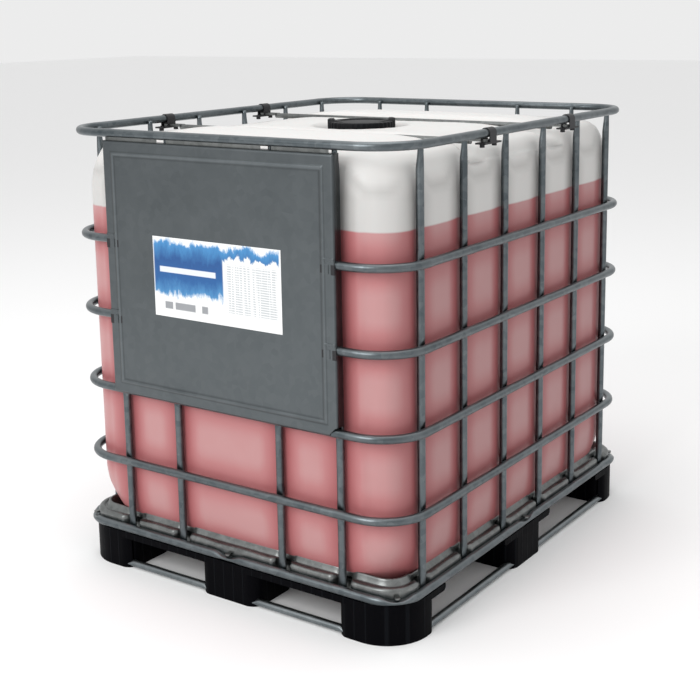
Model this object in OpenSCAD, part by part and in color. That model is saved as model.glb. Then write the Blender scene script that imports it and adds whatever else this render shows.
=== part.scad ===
// Caged liquid container on a four-way pallet: a blow-moulded bottle in a
// welded tube cage, standing on a steel deck pan, plastic boards and feet.
// Units are millimetres. +Z is up and the floor is Z = 0. The origin is under
// the middle of the centre foot. The label plate faces -Y, the outlet +Y.

/* [Overall] */
// Width over the cage, along the short sides
width = 1000; // [900:10:1200]
// Depth over the cage, along the long sides
depth = 1200; // [1000:10:1440]
// Height from the floor to the top of the rail
height = 1110; // [1000:5:1350]

/* [Cage] */
// Diameter of the ring tubes, the base ring and the top rail
ring_d = 20; // [16:1:24]
// Diameter of the post tubes
post_d = 18; // [14:1:20]
// Wall thickness of the cage tubes
tube_wall = 1.2; // [0.8:0.1:2]
// How far the posts stand inside the rings, centre line to centre line
post_inset = 16; // [14:0.5:18]
// Corner radius of the rings and the rail at their centre line
ring_corner = 112; // [90:1:140]
// Corner radius of the base ring at its centre line
base_corner = 78; // [70:1:100]
// How far the base ring sits inside the cage rings
base_inset = 2; // [1:0.5:4]
// Height of the lowest cage ring above the floor
first_ring_z = 286; // [280:1:320]
// Distance between one cage ring and the next
ring_pitch = 186.5; // [160:0.5:200]
// Distance from the face of a short side to the first side post
side_post_edge = 127; // [120:1:160]
// Distance between one side post and the next, except in the two end bays
side_bay = 193; // [150:1:210]
// Distance from the face of a long side to the first end post
end_post_edge = 177; // [140:1:200]
// Width of the middle bay of the short sides, which leaves room for the valve
valve_bay = 306; // [280:1:360]

/* [Pallet] */
// Height of the feet
foot_h = 80; // [70:1:100]
// Thickness of the plastic boards on the feet
board_t = 16; // [12:1:20]
// How far the boards reach out over the feet along the long sides
board_over = 38; // [20:1:60]
// Length of the outer feet along the boards
foot_x = 176; // [150:1:200]
// Width of the corner and end feet across the boards
foot_y = 148; // [130:1:160]
// Width of the middle feet across the boards
middle_foot_y = 168; // [140:1:200]
// Wall thickness of the feet
foot_wall = 5; // [3:0.5:8]
// Corner radius of the pallet's outer corners
pallet_corner = 108; // [80:1:120]
// How far the feet and boards sit inside the cage rings
pallet_inset = 8; // [6:1:14]
// Diameter of the floor runner tubes
runner_d = 22; // [18:1:24]
// How far the runner tubes' centre lines sit inside the feet's outer faces
runner_inset = 12; // [11:1:20]

/* [Deck pan] */
// Thickness of the deck pan's sheet
pan_t = 1; // [0.8:0.1:2]
// Height of the pan's crest above the boards
crest_h = 40; // [30:1:45]
// Height of the middle of the pan's rolled edge above the boards
edge_h = 25; // [22:1:28]
// Diameter of the rolled edge of the pan
edge_d = 13; // [10:1:14]
// Width of the pan's sloping wall between its floor and its crest
wall_run = 27; // [20:1:36]

/* [Bottle] */
// Wall thickness of the bottle
bottle_wall = 2.6; // [2:0.1:5]
// Gap between the bottle's sides and the posts
bottle_gap = 2; // [1:0.5:6]
// Corner radius of the bottle's upright corners
bottle_corner = 70; // [60:1:84]
// Gap between the top of the bottle's crown and the top of the rail
crown_drop = 14; // [10:1:30]
// Distance of each cross bar channel from the middle of the bottle
bar_offset = 205; // [180:1:260]
// Outer diameter of the filling neck
neck_d = 150; // [120:1:180]

/* [Filling cap] */
// Outer diameter of the filling cap over its lugs
cap_d = 177; // [166:1:200]
// Height of the filling cap
cap_h = 34; // [28:1:45]
// Number of grip lugs around the cap
cap_lugs = 20; // [8:2:32]
// Height of the cap's thread per turn
cap_pitch = 8; // [4:1:10]

/* [Cross bars] */
// Diameter of the two cross bars over the bottle
bar_d = 14; // [10:1:18]
// Gap between a cross bar and the rail above it
bar_drop = 4; // [2:0.5:8]

/* [Label plate] */
// Height of the plate's top edge below the middle of the rail
plate_drop = 17; // [14:1:30]
// Thickness of the plate's sheet
plate_t = 1.2; // [0.8:0.1:2]
// Depth of the plate's side flanges
plate_flange = 26; // [22:1:32]

/* [Outlet valve] */
// Bore through the valve
valve_bore = 50; // [40:1:60]
// Wall thickness of the valve's pipe
valve_wall = 6; // [4:0.5:8]
// Height of the valve's centre line above the floor
valve_z = 186; // [180:1:200]
// Length of the lever from the stem
lever_l = 76; // [60:1:85]

/* [Hidden] */
$fn = 48;
eps = 0.01;             // overlap that joins touching pieces of one solid
weld_gap = 0.1;         // gap between pieces that are welded or rest together
run_gap = 0.4;          // gap around pieces that turn or slide
steel = "slategray";
bright = "silver";
plastic = "#15171a";

// Cage lines
proud = 3;              // how far the plate and clamps stand out from the rings
ring_hx = (width - ring_d) / 2 - proud;
ring_hy = (depth - ring_d) / 2 - proud;
base_hx = ring_hx - base_inset;
base_hy = ring_hy - base_inset;
rail_z = height - ring_d / 2;
post_hx = ring_hx - post_inset;
post_hy = ring_hy - post_inset;
end_post_x = width / 2 - end_post_edge;
side_post_y = depth / 2 - side_post_edge;
side_posts = 6;
clamp_t = 2.4;          // thickness of the clamps' straps
cage_rings = 4;
function end_post(i) = [-end_post_x, -valve_bay / 2, valve_bay / 2, end_post_x][i - 1];
function side_post(i) =
    i == 1 ? -side_post_y : i == side_posts ? side_post_y : side_bay * (i - 3.5);
function ring_z(i) = first_ring_z + (i - 1) * ring_pitch;

// Pallet lines
board_z = foot_h + board_t;
pallet_hx = width / 2 - pallet_inset;
pallet_hy = depth / 2 - pallet_inset;
foot_corner = 32;                       // corner radius of a foot's other corners
board_chamfer = 6;                      // bevel under a board's long edges
runner_flat_w = 24;                     // width of a runner pressed flat
runner_flat_t = 8;                      // thickness of a runner pressed flat
runner_flat_in = 5;                     // gap from a foot's outer face to the flat
runner_z = runner_d / 2 + 1;
groove_gap = 1;                         // room around a flat runner in its groove
foot_cx = pallet_hx - foot_x / 2;
foot_cy = pallet_hy - foot_y / 2;
flat_cx = pallet_hx - runner_flat_in - runner_flat_w / 2;
flat_cy = pallet_hy - runner_flat_in - runner_flat_w / 2;
base_z = board_z + ring_d / 2;

// Deck pan lines, measured outward from the corner centres of the base ring
pan_edge_u = base_corner - ring_d / 2 - 3.5;
pan_crest_u = pan_edge_u - 12;
pan_floor_u = pan_crest_u - wall_run;
notch_w = post_d + 12;                  // width of the edge's notch at each post
blade_w = post_d + 6;                   // width of a post's flattened foot
blade_t = 5;                            // thickness of a post's flattened foot
blade_top = board_z + edge_h + edge_d / 2 + 6;

// Bottle lines
bottle_hx = post_hx - post_d / 2 - bottle_gap;
bottle_hy = post_hy - post_d / 2 - bottle_gap;
bottle_z = board_z + pan_t + weld_gap;
crown_z = height - crown_drop;
// Height and inset of each level of the bottle's outline, from the bottom up
bottle_levels = [
    [bottle_z, 44], [bottle_z + 8, 30], [bottle_z + 22, 17], [bottle_z + 44, 8],
    [bottle_z + 70, 3], [bottle_z + 106, 0], [crown_z - 130, 0], [crown_z - 96, 3],
    [crown_z - 66, 9], [crown_z - 40, 18], [crown_z - 20, 34], [crown_z - 8, 54],
    [crown_z, bottle_corner - 6]
];
channel_r = 26;                         // radius of a cross bar channel's bottom
bar_z = rail_z - ring_d / 2 - bar_drop - bar_d / 2;
channel_z = bar_z - bar_d / 2 - 3;      // lowest line of a channel
bar_flat_t = 6;                         // thickness of a bar's pressed end
bar_flat_w = bar_d + 8;                 // width of a bar's pressed end
bar_flat_z = bar_z + bar_d / 2 - bar_flat_t / 2;
bolt_d = 6;                             // diameter of the clamp bolts' shanks
well_d = cap_d + 46;                    // diameter of the well around the neck
cap_top = crown_z + 1;
cap_z = cap_top - cap_h;
well_z = cap_z - 6;
cap_top_t = 6;                          // thickness of the cap's top
cap_skirt_t = 4;                        // thickness of the cap's skirt
gasket_t = 4;
neck_top = cap_top - cap_top_t - gasket_t - 2 * weld_gap;
neck_wall = 7;
cap_lift = 1.5 * cap_pitch;

// Outlet lines
recess_hx = valve_bay / 2 - 18;         // half width of the bottle's valve recess
recess_y = bottle_hy - 122;             // back wall of the recess
recess_top = valve_z + 88;
recess_r = 20;
outlet_neck_l = 26;
pipe_r = valve_bore / 2 + valve_wall;
outlet_face = recess_y + outlet_neck_l;
outlet_gasket_t = 3;
valve_start = outlet_face + outlet_gasket_t + 2 * weld_gap;
flange_t = 8;
flange_r = pipe_r + 7;
nut_r = flange_r + 9;
nut_back = 18;                          // how far the nut reaches over the neck
stem_y = valve_start + 38;
stem_r = 4;
hub_r = 7;
boss_r = 13;
boss_h = 16;                            // height of the stem's boss over the pipe
thread_l = 18;                          // length of the outlet's end under its cap
valve_end = valve_start + 90;
handle_z = valve_z + pipe_r + boss_h + weld_gap;
handle_t = 13;
stem_top = handle_z + handle_t - 2;
dust_wall = 4;
dust_seal_t = 2.5;

// ---- shared shapes ----

// Four corners of a rounded rectangle: sign in X, sign in Y, start angle
corners = [[1, 1, 0], [-1, 1, 90], [-1, -1, 180], [1, -1, 270]];

// Flat rounded rectangle of half sizes hx and hy
module rounded_2d(hx, hy, r) {
    square([2 * hx, 2 * (hy - r)], center = true);
    square([2 * (hx - r), 2 * hy], center = true);
    for (c = corners)
        translate([c[0] * (hx - r), c[1] * (hy - r)]) circle(r = r);
}

// Flat plate from height z, t thick
module plate_at(z, t, hx, hy, r) {
    translate([0, 0, z]) linear_extrude(t) rounded_2d(hx, hy, r);
}

// Round bar of diameter d bent into a rounded rectangle
module bar_frame(hx, hy, r, d) {
    for (s = [-1, 1]) {
        translate([s * hx, 0, 0]) rotate([90, 0, 0])
            cylinder(h = 2 * (hy - r), d = d, center = true);
        translate([0, s * hy, 0]) rotate([0, 90, 0])
            cylinder(h = 2 * (hx - r), d = d, center = true);
    }
    for (c = corners)
        translate([c[0] * (hx - r), c[1] * (hy - r), 0]) rotate([0, 0, c[2]])
            rotate_extrude(angle = 90) translate([r, 0]) circle(d = d);
}

// Tube bent into a rounded rectangle
module tube_frame(hx, hy, r, d) {
    difference() {
        bar_frame(hx, hy, r, d);
        bar_frame(hx, hy, r, d - 2 * tube_wall);
    }
}

// Places a shape that faces -Y on side 0 plate, 1 right, 2 valve or 3 left
module on_side(side, along) {
    out = side % 2 == 0 ? post_hy : post_hx;
    shift = side == 0 || side == 1 ? along : -along;
    rotate([0, 0, 90 * side]) translate([shift, -out, 0]) children();
}

// Places a shape at every post of the cage
module at_posts() {
    for (i = [1 : 4]) {
        on_side(0, end_post(i)) children();
        on_side(2, end_post(i)) children();
    }
    for (i = [1 : side_posts]) {
        on_side(1, side_post(i)) children();
        on_side(3, side_post(i)) children();
    }
}

// Pan-head screw standing on the plane Z = 0, with its shank below
module screw(head_d, head_h, shank_d, shank_l) {
    cylinder(h = head_h, d = head_d);
    translate([0, 0, -shank_l]) cylinder(h = shank_l + eps, d = shank_d);
}

// ---- pallet ----

// Outline of a foot of half sizes hx and hy; out gives the signs of its outer corner
module foot_2d(hx, hy, out) {
    if (out[0] == 0 || out[1] == 0) {
        rounded_2d(hx, hy, foot_corner);
    } else {
        intersection() {
            rounded_2d(hx, hy, foot_corner);
            union() {
                translate([out[0] * (hx - pallet_corner), out[1] * (hy - pallet_corner)])
                    circle(r = pallet_corner);
                translate([-out[0] * pallet_corner, 0])
                    square([2 * hx, 2 * hy], center = true);
                translate([0, -out[1] * pallet_corner])
                    square([2 * hx, 2 * hy], center = true);
            }
        }
    }
}

// Grooves for the flat runners under the feet
module runner_grooves() {
    groove_h = runner_flat_t + 1 + groove_gap;
    groove_w = runner_flat_w + 2 * groove_gap;
    for (s = [-1, 1]) {
        translate([-width / 2, s * flat_cy - groove_w / 2, -eps])
            cube([width, groove_w, groove_h]);
        translate([s * flat_cx - groove_w / 2, -depth / 2, -eps])
            cube([groove_w, depth, groove_h]);
    }
}

// Hollow foot, open at the top, at the side signs sx and sy
module foot(sx, sy) {
    hx = foot_x / 2;
    hy = (sy == 0 ? middle_foot_y : foot_y) / 2;
    floor_t = runner_flat_t + groove_gap + 7;
    color(plastic) difference() {
        translate([sx * foot_cx, sy * foot_cy, 0]) difference() {
            linear_extrude(foot_h) foot_2d(hx, hy, [sx, sy]);
            translate([0, 0, floor_t]) linear_extrude(foot_h) intersection() {
                foot_2d(hx, hy, [sx, sy]);
                for (i = [-1, 1], j = [-1, 1])
                    translate([i * hx / 2, j * hy / 2])
                        square([hx - 2 * foot_wall, hy - 2 * foot_wall], center = true);
                translate([-sx * foot_wall, -sy * foot_wall]) foot_2d(hx, hy, [sx, sy]);
            }
        }
        runner_grooves();
    }
}

// Board across three feet at the side sign sy; it reaches out past the feet inward
module board(sy) {
    over_out = sy == 0 ? board_over : 0;
    low = (sy == 0 ? -middle_foot_y / 2 : pallet_hy - foot_y) - board_over;
    high = sy == 0 ? middle_foot_y / 2 + over_out : pallet_hy;
    bevel_out = sy == 0 ? board_chamfer : 0;
    color(plastic) mirror([0, sy < 0 ? 1 : 0, 0]) intersection() {
        plate_at(foot_h + weld_gap, board_t - 2 * weld_gap, pallet_hx, pallet_hy, pallet_corner);
        rotate([90, 0, 90]) linear_extrude(width, center = true)
            polygon([
                [low + board_chamfer, foot_h], [high - bevel_out, foot_h],
                [high, foot_h + bevel_out], [high, board_z],
                [low, board_z], [low, foot_h + board_chamfer]
            ]);
    }
}

// Runner along X: flat from -reach to reach, round over the stretch from a to b each way
module runner(reach, a, b, flat_shift) {
    translate([-reach, flat_shift - runner_flat_w / 2, 1])
        cube([2 * reach, runner_flat_w, runner_flat_t]);
    for (s = [0, 1])
        mirror([s, 0, 0]) translate([a, 0, runner_z]) rotate([0, 90, 0])
            cylinder(h = b - a, d = runner_d);
}

// Half length that keeps a flat runner's end inside the pallet's round corners
function flat_reach(half) =
    half - pallet_corner + sqrt(2 * pallet_corner * runner_flat_in - pow(runner_flat_in, 2)) - 6;

// Runner under a short side
module runner_end(sy) {
    shift = runner_inset - runner_flat_in - runner_flat_w / 2;
    color(bright) rotate([0, 0, sy > 0 ? 0 : 180])
        translate([0, pallet_hy - runner_inset, 0])
            runner(flat_reach(pallet_hx), foot_x / 2 + 8, pallet_hx - foot_x - 8, shift);
}

// Runner under the long side of sign sx
module runner_long(sx) {
    shift = runner_inset - runner_flat_in - runner_flat_w / 2;
    color(bright) rotate([0, 0, sx > 0 ? -90 : 90])
        translate([0, pallet_hx - runner_inset, 0])
            runner(flat_reach(pallet_hy), middle_foot_y / 2 + 8, pallet_hy - foot_y - 8, shift);
}

// Sweeps a profile around the pan; the profile's x runs outward from the corner centres
module around_pan() {
    cx = base_hx - base_corner;
    cy = base_hy - base_corner;
    for (s = [0, 180]) {
        rotate([0, 0, s]) translate([cx, cy, 0]) rotate([90, 0, 0])
            linear_extrude(2 * cy) children();
        rotate([0, 0, s]) translate([-cx, cy, 0]) rotate([90, 0, 90])
            linear_extrude(2 * cx) children();
    }
    for (c = corners)
        translate([c[0] * cx, c[1] * cy, 0]) rotate([0, 0, c[2]])
            rotate_extrude(angle = 90) children();
}

// Deck pan: floor, sloping wall, crest, and an outer slope down to a rolled edge
// that is notched around every post
module deck_pan() {
    wall_v = 2 * pan_t;
    crest_z = board_z + crest_h;
    rolled_z = board_z + edge_h;
    floor_hx = base_hx - base_corner + pan_floor_u;
    floor_hy = base_hy - base_corner + pan_floor_u;
    color(bright) difference() {
        union() {
            plate_at(board_z, pan_t, floor_hx, floor_hy, pan_floor_u);
            around_pan() polygon([
                [pan_floor_u - pan_t, board_z], [pan_floor_u, board_z],
                [pan_crest_u, crest_z - wall_v], [pan_edge_u, rolled_z - wall_v],
                [pan_edge_u, rolled_z + wall_v], [pan_crest_u, crest_z],
                [pan_floor_u - pan_t, board_z + wall_v]
            ]);
            around_pan() translate([pan_edge_u, rolled_z]) difference() {
                circle(d = edge_d);
                circle(d = edge_d - 3 * pan_t);
            }
        }
        at_posts() translate([-notch_w / 2, -4 * ring_d, board_z + eps])
            cube([notch_w, 4 * ring_d + post_d / 2 + 1, crest_h]);
    }
}

// Screws that hold the base ring to the boards, at the corners and mid sides
module deck_screws() {
    diagonal = base_corner * (1 - sqrt(0.5));
    spots = concat(
        [for (c = corners) [c[0] * (base_hx - diagonal), c[1] * (base_hy - diagonal)]],
        [[0, base_hy], [0, -base_hy], [base_hx, 0], [-base_hx, 0]]
    );
    color(steel) for (p = spots)
        translate([p[0], p[1], base_z + ring_d / 2 - 4]) screw(14, 4, 6, 1);
}

// Base ring, dished on top where the screws hold it down
module base_ring() {
    diagonal = base_corner * (1 - sqrt(0.5));
    spots = concat(
        [for (c = corners) [c[0] * (base_hx - diagonal), c[1] * (base_hy - diagonal)]],
        [[0, base_hy], [0, -base_hy], [base_hx, 0], [-base_hx, 0]]
    );
    color(steel) difference() {
        translate([0, 0, base_z + weld_gap])
            bar_frame(base_hx, base_hy, base_corner, ring_d);
        difference() {
            translate([0, 0, base_z + weld_gap])
                bar_frame(base_hx, base_hy, base_corner, ring_d - 2 * tube_wall);
            for (p = spots)
                translate([p[0], p[1], base_z]) cylinder(h = ring_d, r = 13);
        }
        for (p = spots)
            translate([p[0], p[1], base_z + ring_d / 2 - 4 - weld_gap])
                cylinder(h = ring_d, r = 12);
        for (p = spots)
            translate([p[0], p[1], base_z]) cylinder(h = ring_d, d = 6 + 2 * weld_gap);
    }
}

// ---- cage ----

module cage_ring(i) {
    color(steel) translate([0, 0, ring_z(i)])
        tube_frame(ring_hx, ring_hy, ring_corner, ring_d);
}

module top_rail() {
    color(steel) translate([0, 0, rail_z])
        tube_frame(ring_hx, ring_hy, ring_corner, ring_d);
}

// Stretches of ring and rail that a post is dented around, grown by gap
module ring_dents(gap) {
    levels = concat([for (i = [1 : cage_rings]) ring_z(i)], [rail_z]);
    for (z = levels)
        translate([0, -post_inset, z]) rotate([0, 90, 0])
            cylinder(h = 3 * post_d, d = ring_d + 2 * gap, center = true);
}

// One post, facing -Y: tube with a blade foot, dented around every ring
module post() {
    core_d = post_d - 2 * tube_wall;
    color(steel) difference() {
        union() {
            translate([0, 0, blade_top - 6])
                cylinder(h = rail_z - blade_top + 6, d = post_d);
            translate([-blade_w / 2, -(post_inset - base_inset - ring_d / 2) + weld_gap + 0.2,
                       base_z - ring_d / 2 + 1])
                cube([blade_w, blade_t, blade_top - base_z + ring_d / 2 - 1]);
        }
        ring_dents(weld_gap);
        difference() {
            translate([0, 0, blade_top])
                cylinder(h = rail_z - blade_top - tube_wall, d = core_d);
            ring_dents(weld_gap + tube_wall);
        }
    }
}

// Cross bar over the bottle, its ends pressed flat under the rail
module cross_bar(sy) {
    flat_l = 46;
    color(bright) translate([0, sy * bar_offset, bar_z]) {
        rotate([0, 90, 0])
            cylinder(h = 2 * (ring_hx - flat_l), d = bar_d, center = true);
        for (s = [-1, 1])
            translate([s * (ring_hx - flat_l / 2), 0, bar_flat_z - bar_z])
                cube([flat_l + 8, bar_flat_w, bar_flat_t], center = true);
    }
}

// Strap over the rail at one bar end, down to a foot plate under the bar
module bar_clamp() {
    strap_w = 30;
    foot_w = 76;
    foot_d = 26;
    inner_r = ring_d / 2 + weld_gap;
    foot_top = bar_flat_z - bar_flat_t / 2 - weld_gap;
    outer = ring_hx + inner_r;
    difference() {
        union() {
            translate([ring_hx, 0, rail_z]) rotate([90, 0, 0])
                cylinder(h = strap_w, r = inner_r + clamp_t, center = true);
            for (x = [outer, ring_hx - inner_r - clamp_t])
                translate([x, -strap_w / 2, foot_top - 4])
                    cube([clamp_t, strap_w, rail_z - foot_top + 4]);
            translate([outer + clamp_t - foot_d, -foot_w / 2, foot_top - 4])
                cube([foot_d, foot_w, 4]);
        }
        translate([ring_hx, 0, rail_z]) rotate([90, 0, 0])
            cylinder(h = foot_w, r = inner_r, center = true);
        translate([ring_hx - inner_r, -foot_w, foot_top])
            cube([2 * inner_r, 2 * foot_w, rail_z - foot_top]);
        translate([0, -bar_flat_w / 2 - 1, foot_top])
            cube([ring_hx, bar_flat_w + 2, bar_flat_t + 2 * weld_gap]);
        at_bolts() translate([0, 0, -20]) cylinder(h = 60, d = bolt_d + 2 * weld_gap);
    }
}

// The two bolt places of one clamp
module at_bolts() {
    for (s = [-1, 1])
        translate([ring_hx - 1, s * 28, bar_flat_z]) children();
}

// Four copies, one over each end of the two cross bars
module at_clamps() {
    for (turn = [0, 180], s = [-1, 1])
        translate([0, s * bar_offset, 0]) rotate([0, 0, turn]) children();
}

module bar_clamps() {
    color(plastic) at_clamps() bar_clamp();
}

// Bolt through each end of a clamp's foot plate: head below, tip short of the rail
module clamp_bolts() {
    head_top = -bar_flat_t / 2 - 4 - 2 * weld_gap;
    color(plastic) at_clamps() at_bolts() {
        translate([0, 0, head_top - 7]) cylinder(h = 7, d = 13, $fn = 6);
        translate([0, 0, head_top - 1]) cylinder(h = bar_flat_t / 2 + 5, d = bolt_d);
    }
}

// Label plate on the short side: front sheet, flanges and a pressed border
module label_plate() {
    half = end_post_x + post_d / 2 + 4;
    front = -(depth / 2 - 1.5);
    top = rail_z - plate_drop;
    low = ring_z(2) - 6;
    border = 22;
    rib = 3;
    color("dimgray") difference() {
        union() {
            translate([-half, front, low]) cube([2 * half, plate_t, top - low]);
            for (s = [-1, 1])
                translate([s * (half - plate_t / 2) - plate_t / 2, front, low])
                    cube([plate_t, plate_flange, top - low]);
            translate([-half, front, top - plate_t]) cube([2 * half, 18, plate_t]);
            difference() {
                translate([-half + border, front - rib / 2, low + border])
                    cube([2 * (half - border), rib, top - low - 2 * border]);
                translate([-half + border + rib, front - rib, low + border + rib])
                    cube([2 * (half - border - rib), 2 * rib, top - low - 2 * (border + rib)]);
                translate([-half, front + plate_t - eps, low]) cube([2 * half, rib, top - low]);
            }
        }
        for (i = [2 : cage_rings], s = [-1, 1])
            translate([s * half, -ring_hy, ring_z(i)])
                cube([12, ring_d + 4, ring_d + 6], center = true);
        for (i = [3 : cage_rings], s = [-1, 1])
            translate([s * (half - 10), front, ring_z(i)]) cube([9, 12, 18], center = true);
        for (s = [-1, 1])
            translate([s * valve_bay / 2, front, top]) cube([26, 60, 20], center = true);
    }
}

// ---- bottle ----

// Outline points of the bottle from the corner centres outward, shrunk by wall
function outline(wall, from) = [
    for (level = bottle_levels)
        let (tall = crown_z - bottle_z, up = (level[0] - bottle_z) * (tall - 2 * wall) / tall)
            [from + bottle_corner - level[1] - wall, bottle_z + wall + up]
];

// Upright section through the whole bottle, from is half the width less a corner
module bottle_section(wall, from) {
    right = outline(wall, from);
    last = len(right) - 1;
    polygon(concat(right, [for (i = [last : -1 : 0]) [-right[i][0], right[i][1]]]));
}

// Closed form of the bottle, shrunk by wall all round
module bottle_form(wall) {
    cx = bottle_hx - bottle_corner;
    cy = bottle_hy - bottle_corner;
    low = [[0, bottle_z + wall]];
    high = [[0, crown_z - wall]];
    rotate([90, 0, 0]) linear_extrude(2 * cy, center = true) bottle_section(wall, cx);
    rotate([90, 0, 90]) linear_extrude(2 * cx, center = true) bottle_section(wall, cy);
    for (c = corners)
        translate([c[0] * cx, c[1] * cy, 0]) rotate([0, 0, c[2]])
            rotate_extrude(angle = 90) polygon(concat(low, outline(wall, 0), high));
}

// What is pressed into the form from outside: bar channels, cap well and valve recess
module bottle_dents(wall) {
    for (s = [-1, 1])
        translate([0, s * bar_offset, channel_z + channel_r]) rotate([0, 90, 0])
            cylinder(h = width, r = channel_r + wall, center = true);
    translate([0, 0, well_z - wall]) cylinder(h = cap_h * 3, d = well_d + 2 * wall);
    hx = recess_hx + wall;
    translate([-hx, recess_y - wall, bottle_z - 1])
        cube([2 * hx, depth, recess_top + wall - recess_r - bottle_z + 1]);
    translate([-hx + recess_r, recess_y - wall, bottle_z - 1])
        cube([2 * (hx - recess_r), depth, recess_top + wall - bottle_z + 1]);
    for (s = [-1, 1])
        translate([s * (hx - recess_r), recess_y - wall, recess_top + wall - recess_r])
            rotate([-90, 0, 0]) cylinder(h = depth, r = recess_r);
}

module bottle() {
    color("lightpink") difference() {
        union() {
            difference() {
                bottle_form(0);
                bottle_dents(0);
                difference() {
                    bottle_form(bottle_wall);
                    bottle_dents(bottle_wall);
                }
            }
            translate([0, 0, well_z - bottle_wall])
                cylinder(h = neck_top - well_z + bottle_wall, d = neck_d);
            translate([0, recess_y - bottle_wall, valve_z]) rotate([-90, 0, 0])
                cylinder(h = outlet_neck_l + bottle_wall, r = pipe_r);
        }
        translate([0, 0, well_z - 2 * bottle_wall])
            cylinder(h = 4 * cap_h, d = neck_d - 2 * neck_wall);
        translate([0, recess_y - 2 * bottle_wall, valve_z]) rotate([-90, 0, 0])
            cylinder(h = outlet_neck_l + 3 * bottle_wall, d = valve_bore);
    }
}

module fill_cap() {
    r = cap_d / 2 - 3;
    lug_r = 5;
    color(plastic) translate([0, 0, cap_z]) difference() {
        union() {
            cylinder(h = cap_h, r = r);
            for (i = [0 : cap_lugs - 1])
                rotate([0, 0, 360 * i / cap_lugs]) translate([r - lug_r + 3, 0, 0])
                    cylinder(h = cap_h - 5, r = lug_r);
        }
        translate([0, 0, -1])
            cylinder(h = cap_h - cap_top_t + 1, r = neck_d / 2 + run_gap + 0.6);
        translate([0, 0, cap_h - 3]) cylinder(h = 4, r = r - 24);
    }
}

module fill_cap_gasket() {
    color("dimgray") translate([0, 0, neck_top + weld_gap]) difference() {
        cylinder(h = gasket_t, r = neck_d / 2);
        translate([0, 0, -1]) cylinder(h = gasket_t + 2, r = neck_d / 2 - neck_wall);
    }
}

// ---- outlet ----

// Turns a shape built up +Z from the outlet's centre line so that it points along +Y
module along_outlet(y) {
    translate([0, y, valve_z]) rotate([-90, 0, 0]) children();
}

module outlet_nut() {
    nut_l = nut_back + outlet_gasket_t + flange_t + 3 * weld_gap + 4;
    color(plastic) along_outlet(outlet_face - nut_back) difference() {
        union() {
            cylinder(h = nut_l, r = nut_r);
            for (a = [0 : 45 : 315])
                rotate([0, 0, a]) translate([nut_r, 0, 0]) cylinder(h = nut_l, r = 4);
        }
        translate([0, 0, -1]) cylinder(h = nut_back + 2, r = pipe_r + run_gap);
        translate([0, 0, nut_back - outlet_gasket_t])
            cylinder(h = nut_l - nut_back + outlet_gasket_t - 4, r = flange_r + run_gap);
        translate([0, 0, nut_l - 5]) cylinder(h = 6, r = pipe_r + run_gap);
    }
}

module outlet_gasket() {
    color("dimgray") along_outlet(outlet_face + weld_gap) difference() {
        cylinder(h = outlet_gasket_t, r = pipe_r - 0.5);
        translate([0, 0, -1]) cylinder(h = outlet_gasket_t + 2, r = valve_bore / 2);
    }
}

module valve_body() {
    color(plastic) difference() {
        union() {
            along_outlet(valve_start) {
                cylinder(h = flange_t, r = flange_r);
                cylinder(h = valve_end - valve_start, r = pipe_r);
            }
            translate([0, stem_y, valve_z - pipe_r - 4])
                cylinder(h = 2 * pipe_r + boss_h + 4, r = boss_r);
        }
        along_outlet(valve_start - 1)
            cylinder(h = valve_end - valve_start + 2, d = valve_bore);
        translate([0, stem_y, valve_z - pipe_r + 1])
            cylinder(h = 2 * pipe_r + boss_h + 1, r = stem_r + 0.05);
    }
}

// Closed disc across the bore, with a hub around the stem
module valve_disc() {
    disc_r = valve_bore / 2 - run_gap;
    color(plastic) difference() {
        union() {
            along_outlet(stem_y - 2) cylinder(h = 4, r = disc_r);
            translate([0, stem_y, valve_z - disc_r + 3])
                cylinder(h = 2 * (disc_r - 3), r = hub_r);
        }
        translate([0, stem_y, valve_z - valve_bore])
            cylinder(h = 2 * valve_bore, r = stem_r + 0.03);
    }
}

module valve_stem() {
    color(bright) translate([0, stem_y, valve_z - pipe_r + 1.5])
        cylinder(h = stem_top - valve_z + pipe_r - 1.5, r = stem_r);
}

// Lever: it lies across the outlet when the valve is shut
module valve_handle() {
    tip_r = 10;
    arm_w = 20;
    color("firebrick") translate([0, stem_y, handle_z]) difference() {
        union() {
            cylinder(h = handle_t, r = boss_r);
            translate([0, -arm_w / 2, 4]) cube([lever_l - tip_r, arm_w, handle_t - 5]);
            translate([lever_l - tip_r, 0, 4]) cylinder(h = handle_t - 5, r = tip_r);
        }
        translate([0, 0, -1]) cylinder(h = handle_t - 1 + eps, r = stem_r + 0.03);
    }
}

module dust_cap() {
    cap_r = pipe_r + run_gap + dust_wall;
    cap_l = thread_l + dust_seal_t + dust_wall + 2 * weld_gap;
    color("firebrick") along_outlet(valve_end - thread_l) difference() {
        union() {
            cylinder(h = cap_l, r = cap_r);
            for (a = [0 : 30 : 330])
                rotate([0, 0, a]) translate([cap_r, 0, 0]) cylinder(h = cap_l - 2, r = 2.5);
        }
        translate([0, 0, -1]) cylinder(h = cap_l - dust_wall + 1, r = pipe_r + run_gap);
    }
}

module dust_cap_seal() {
    color("dimgray") along_outlet(valve_end + weld_gap)
        cylinder(h = dust_seal_t, r = pipe_r - 1);
}

// ---- what is drawn ----

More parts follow.
